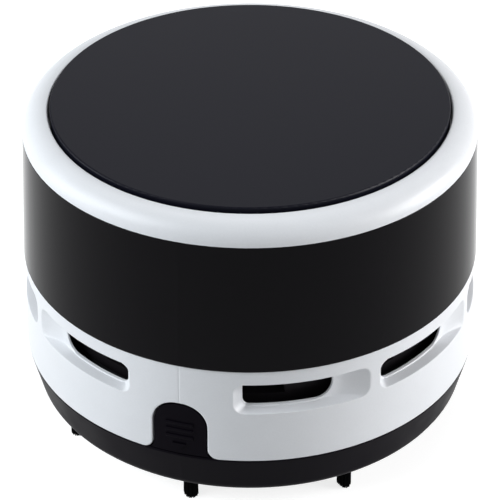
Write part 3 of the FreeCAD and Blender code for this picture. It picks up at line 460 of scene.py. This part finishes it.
def shader(name, colour, roughness, metallic=0.0, ior=1.45, coat=0.0, mottle=0.0,
           mottle_size=0.006, relief=0.0, relief_size=0.0005, spread=0.0, stretch=(1, 1, 1)):
    """A moulded, drawn or turned surface: fine relief, with mottled colour and roughness.

    mottle is a share of the colour, spread is a change of roughness, the sizes and the relief's
    height are in metres, and stretch scales the pattern along each axis.
    """
    material = bpy.data.materials.new(name)
    material.use_nodes = True
    tree = material.node_tree
    surface = tree.nodes["Principled BSDF"]
    surface.inputs["Base Color"].default_value = (*colour, 1)
    surface.inputs["Metallic"].default_value = metallic
    surface.inputs["IOR"].default_value = ior
    surface.inputs["Coat Weight"].default_value = coat
    surface.inputs["Coat Roughness"].default_value = coat_roughness
    place = tree.nodes.new("ShaderNodeTexCoord")
    scaled = tree.nodes.new("ShaderNodeMapping")
    scaled.inputs["Scale"].default_value = stretch
    tree.links.new(place.outputs["Object"], scaled.inputs["Vector"])

    def noise(size, detail):
        node = tree.nodes.new("ShaderNodeTexNoise")
        node.inputs["Scale"].default_value = 1 / size
        node.inputs["Detail"].default_value = detail
        tree.links.new(scaled.outputs["Vector"], node.inputs["Vector"])
        return node.outputs["Fac"]

    fine = noise(relief_size, fine_detail)
    wide = noise(mottle_size, wide_detail)
    ramp = tree.nodes.new("ShaderNodeMapRange")
    ramp.inputs["From Min"].default_value = noise_low
    ramp.inputs["From Max"].default_value = noise_high
    ramp.inputs["To Min"].default_value = max(roughness - spread, least_roughness)
    ramp.inputs["To Max"].default_value = roughness + spread
    tree.links.new(wide, ramp.inputs["Value"])
    tree.links.new(ramp.outputs["Result"], surface.inputs["Roughness"])
    mix = tree.nodes.new("ShaderNodeMix")
    mix.data_type = "RGBA"
    mix.inputs["A"].default_value = (*[value * (1 - mottle) for value in colour], 1)
    mix.inputs["B"].default_value = (*[min(value * (1 + mottle), 1) for value in colour], 1)
    both = tree.nodes.new("ShaderNodeMath")
    both.operation = "MULTIPLY_ADD"
    tree.links.new(fine, both.inputs[0])
    both.inputs[1].default_value = fine_share
    rest = tree.nodes.new("ShaderNodeMath")
    rest.operation = "MULTIPLY"
    rest.inputs[1].default_value = 1 - fine_share
    tree.links.new(wide, rest.inputs[0])
    tree.links.new(rest.outputs["Value"], both.inputs[2])
    tree.links.new(both.outputs["Value"], mix.inputs["Factor"])
    tree.links.new(mix.outputs["Result"], surface.inputs["Base Color"])
    if relief:
        bump = tree.nodes.new("ShaderNodeBump")
        bump.inputs["Strength"].default_value = 1
        bump.inputs["Distance"].default_value = relief
        tree.links.new(fine, bump.inputs["Height"])
        tree.links.new(bump.outputs["Normal"], surface.inputs["Normal"])
    looks[name] = material


shader("shell_white", (0.74, 0.755, 0.785), 0.36, mottle=0.05, relief=0.000012, relief_size=0.00035,
       spread=0.05)
shader("band_gloss_black", (0.0028, 0.0023, 0.0034), 0.08, ior=1.14, mottle=0.15, relief=0.0000008,
       relief_size=0.004, spread=0.005)
shader("lid_satin_black", (0.0032, 0.0034, 0.008), 0.36, ior=1.185, mottle=0.08, relief=0.000002,
       relief_size=0.0003, spread=0.006)
shader("tray_black", (0.0034, 0.0026, 0.0046), 0.4, ior=1.09, mottle=0.2, relief=0.000003,
       relief_size=0.0004, spread=0.05)
shader("bristle_black", (0.0008, 0.0008, 0.001), 0.5, ior=1.06, mottle=0.4, mottle_size=0.001)
shader("inner_grey", (0.16, 0.165, 0.17), 0.45, mottle=0.08, relief=0.000006, spread=0.05)
shader("inner_dark", (0.006, 0.005, 0.0065), 0.5, ior=1.3, mottle=0.2, relief=0.000006, spread=0.05)
shader("filter_plastic", (0.05, 0.055, 0.06), 0.5, mottle=0.1, relief=0.000006, spread=0.05)
shader("filter_fabric", (0.55, 0.55, 0.52), 0.9, mottle=0.25, mottle_size=0.0012, relief=0.00006,
       relief_size=0.00025, spread=0.05)
shader("fan_white", (0.6, 0.61, 0.62), 0.4, mottle=0.05, relief=0.000005, spread=0.05)
shader("motor_steel", (0.52, 0.52, 0.53), 0.3, metallic=1.0, mottle=0.12, relief=0.000003,
       relief_size=0.0002, spread=0.08, stretch=(1, 1, 6))
shader("motor_nylon", (0.55, 0.53, 0.47), 0.45, mottle=0.06, relief=0.000005, spread=0.05)
shader("magnet_ferrite", (0.03, 0.03, 0.032), 0.6, mottle=0.2, mottle_size=0.001, relief=0.00001,
       relief_size=0.0002, spread=0.08)
shader("winding_copper", (0.72, 0.3, 0.14), 0.3, metallic=1.0, mottle=0.2, mottle_size=0.001,
       relief=0.00003, relief_size=0.0002, spread=0.08, stretch=(1, 1, 0.15))
shader("shaft_steel", (0.62, 0.62, 0.63), 0.18, metallic=1.0, mottle=0.08, relief=0.000002,
       relief_size=0.0001, spread=0.05, stretch=(0.2, 0.2, 6))
shader("contact_nickel", (0.66, 0.64, 0.59), 0.2, metallic=1.0, mottle=0.08, relief=0.000002,
       relief_size=0.0003, spread=0.06)
shader("cell_wrap", (0.02, 0.045, 0.09), 0.25, coat=0.3, mottle=0.1, relief=0.000002, spread=0.05)
shader("switch_black", (0.012, 0.012, 0.013), 0.4, mottle=0.15, relief=0.000004, spread=0.05)
shader("knob_black", (0.004, 0.004, 0.005), 0.38, ior=1.3, mottle=0.15, relief=0.000003,
       spread=0.05)
shader("lead_red", (0.45, 0.02, 0.015), 0.35, mottle=0.08, relief=0.000004, spread=0.05)
shader("lead_black", (0.01, 0.01, 0.011), 0.35, mottle=0.1, relief=0.000004, spread=0.05)
shader("screw_steel", (0.5, 0.5, 0.5), 0.28, metallic=1.0, mottle=0.1, relief=0.000003,
       relief_size=0.0002, spread=0.08)

for node in nodes.values():
    for index, material in enumerate(list(node.data.materials)):
        node.data.materials[index] = looks[material.name.split(".")[0]]

shell = housing_shell()
tufts = tuft_filaments()
for piece, body, node_name, slot in (
    (shell, "housing", "lower_housing", "shell_white"),
    (tufts, "tray", "brush_tufts", "bristle_black"),
):
    piece.data.materials.append(looks[slot])
    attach(piece, body)
    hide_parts(node_name)


# Floor, light and camera.
floor_reach = 3.0
floor_tone = 0.5
floor_roughness = 0.9
floor_glow = 0.8
world_light = 0.14
lamp_cool = (0.955, 1, 1.03)
lamp_plain = (1, 1, 1)
# Name, turn from the camera and elevation in degrees, distance, size, power and colour.
lamps = (
    ("lamp_left_high", -70, 35, 0.9, 0.6, 5.5, lamp_cool),
    ("lamp_left_low", -92, 12, 0.9, 0.6, 3.0, lamp_cool),
    ("lamp_right_low", 87, 12, 0.9, 0.6, 9.2, lamp_plain),
    ("lamp_top", 180, 70, 1.0, 0.8, 2.2, lamp_plain),
)


def direction(azimuth, elevation):
    """The unit vector at an azimuth and elevation in degrees."""
    turn, lift = math.radians(azimuth), math.radians(elevation)
    return Vector((
        math.sin(turn) * math.cos(lift), -math.cos(turn) * math.cos(lift), math.sin(lift)
    ))


def look_back(thing, way, distance):
    """Place a lamp or camera along a way from the object's middle, looking back at it."""
    thing.location = way * distance + Vector((0, 0, camera_target_height))
    thing.rotation_mode = "QUATERNION"
    thing.rotation_quaternion = way.to_track_quat("Z", "Y")


def plainly_seen(tree):
    """One for rays of the camera, of reflections and through glass, else zero."""
    path = tree.nodes.new("ShaderNodeLightPath")
    seen = path.outputs["Is Camera Ray"]
    for other in ("Is Glossy Ray", "Is Transmission Ray"):
        larger = tree.nodes.new("ShaderNodeMath")
        larger.operation = "MAXIMUM"
        tree.links.new(seen, larger.inputs[0])
        tree.links.new(path.outputs[other], larger.inputs[1])
        seen = larger.outputs["Value"]
    return seen


def studio():
    """A pale floor, soft lamps at the sides and the top, and a pale world."""
    floor_mesh = bpy.data.meshes.new("floor")
    corners = [
        (x * floor_reach, y * floor_reach, 0) for x, y in ((-1, -1), (1, -1), (1, 1), (-1, 1))
    ]
    floor_mesh.from_pydata(corners, [], [(0, 1, 2, 3)])
    floor = bpy.data.objects.new("floor", floor_mesh)
    bpy.context.scene.collection.objects.link(floor)
    material = bpy.data.materials.new("floor_pale")
    material.use_nodes = True
    tree = material.node_tree
    surface = tree.nodes["Principled BSDF"]
    surface.inputs["Base Color"].default_value = (floor_tone, floor_tone, floor_tone, 1)
    surface.inputs["Roughness"].default_value = floor_roughness
    seen = plainly_seen(tree)
    glow = tree.nodes.new("ShaderNodeMath")
    glow.operation = "MULTIPLY"
    glow.inputs[1].default_value = floor_glow
    tree.links.new(seen, glow.inputs[0])
    surface.inputs["Emission Color"].default_value = (1, 1, 1, 1)
    tree.links.new(glow.outputs["Value"], surface.inputs["Emission Strength"])
    floor_mesh.materials.append(material)

    world = bpy.data.worlds.new("studio")
    bpy.context.scene.world = world
    world.use_nodes = True
    tree = world.node_tree
    background = tree.nodes["Background"]
    background.inputs["Color"].default_value = (1, 1, 1, 1)
    seen = plainly_seen(tree)
    level = tree.nodes.new("ShaderNodeMapRange")
    level.inputs["To Min"].default_value = world_light
    level.inputs["To Max"].default_value = 1.0
    tree.links.new(seen, level.inputs["Value"])
    tree.links.new(level.outputs["Result"], background.inputs["Strength"])

    for name, turn, elevation, distance, size, power, colour in lamps:
        light = bpy.data.lights.new(name, "AREA")
        light.color = colour
        light.shape = "DISK"
        light.size = size
        light.energy = power
        lamp = bpy.data.objects.new(name, light)
        bpy.context.scene.collection.objects.link(lamp)
        look_back(lamp, direction(camera_azimuth + turn, elevation), distance)


def photograph_camera():
    """The camera at the photograph's viewing angle."""
    data = bpy.data.cameras.new("camera")
    data.sensor_width = camera_sensor
    data.lens = camera_lens
    data.clip_start = camera_clip
    camera = bpy.data.objects.new("camera", data)
    bpy.context.scene.collection.objects.link(camera)
    look_back(camera, direction(camera_azimuth, camera_elevation), camera_distance)
    bpy.context.scene.camera = camera


studio()
photograph_camera()
bpy.context.scene.view_settings.view_transform = "Standard"
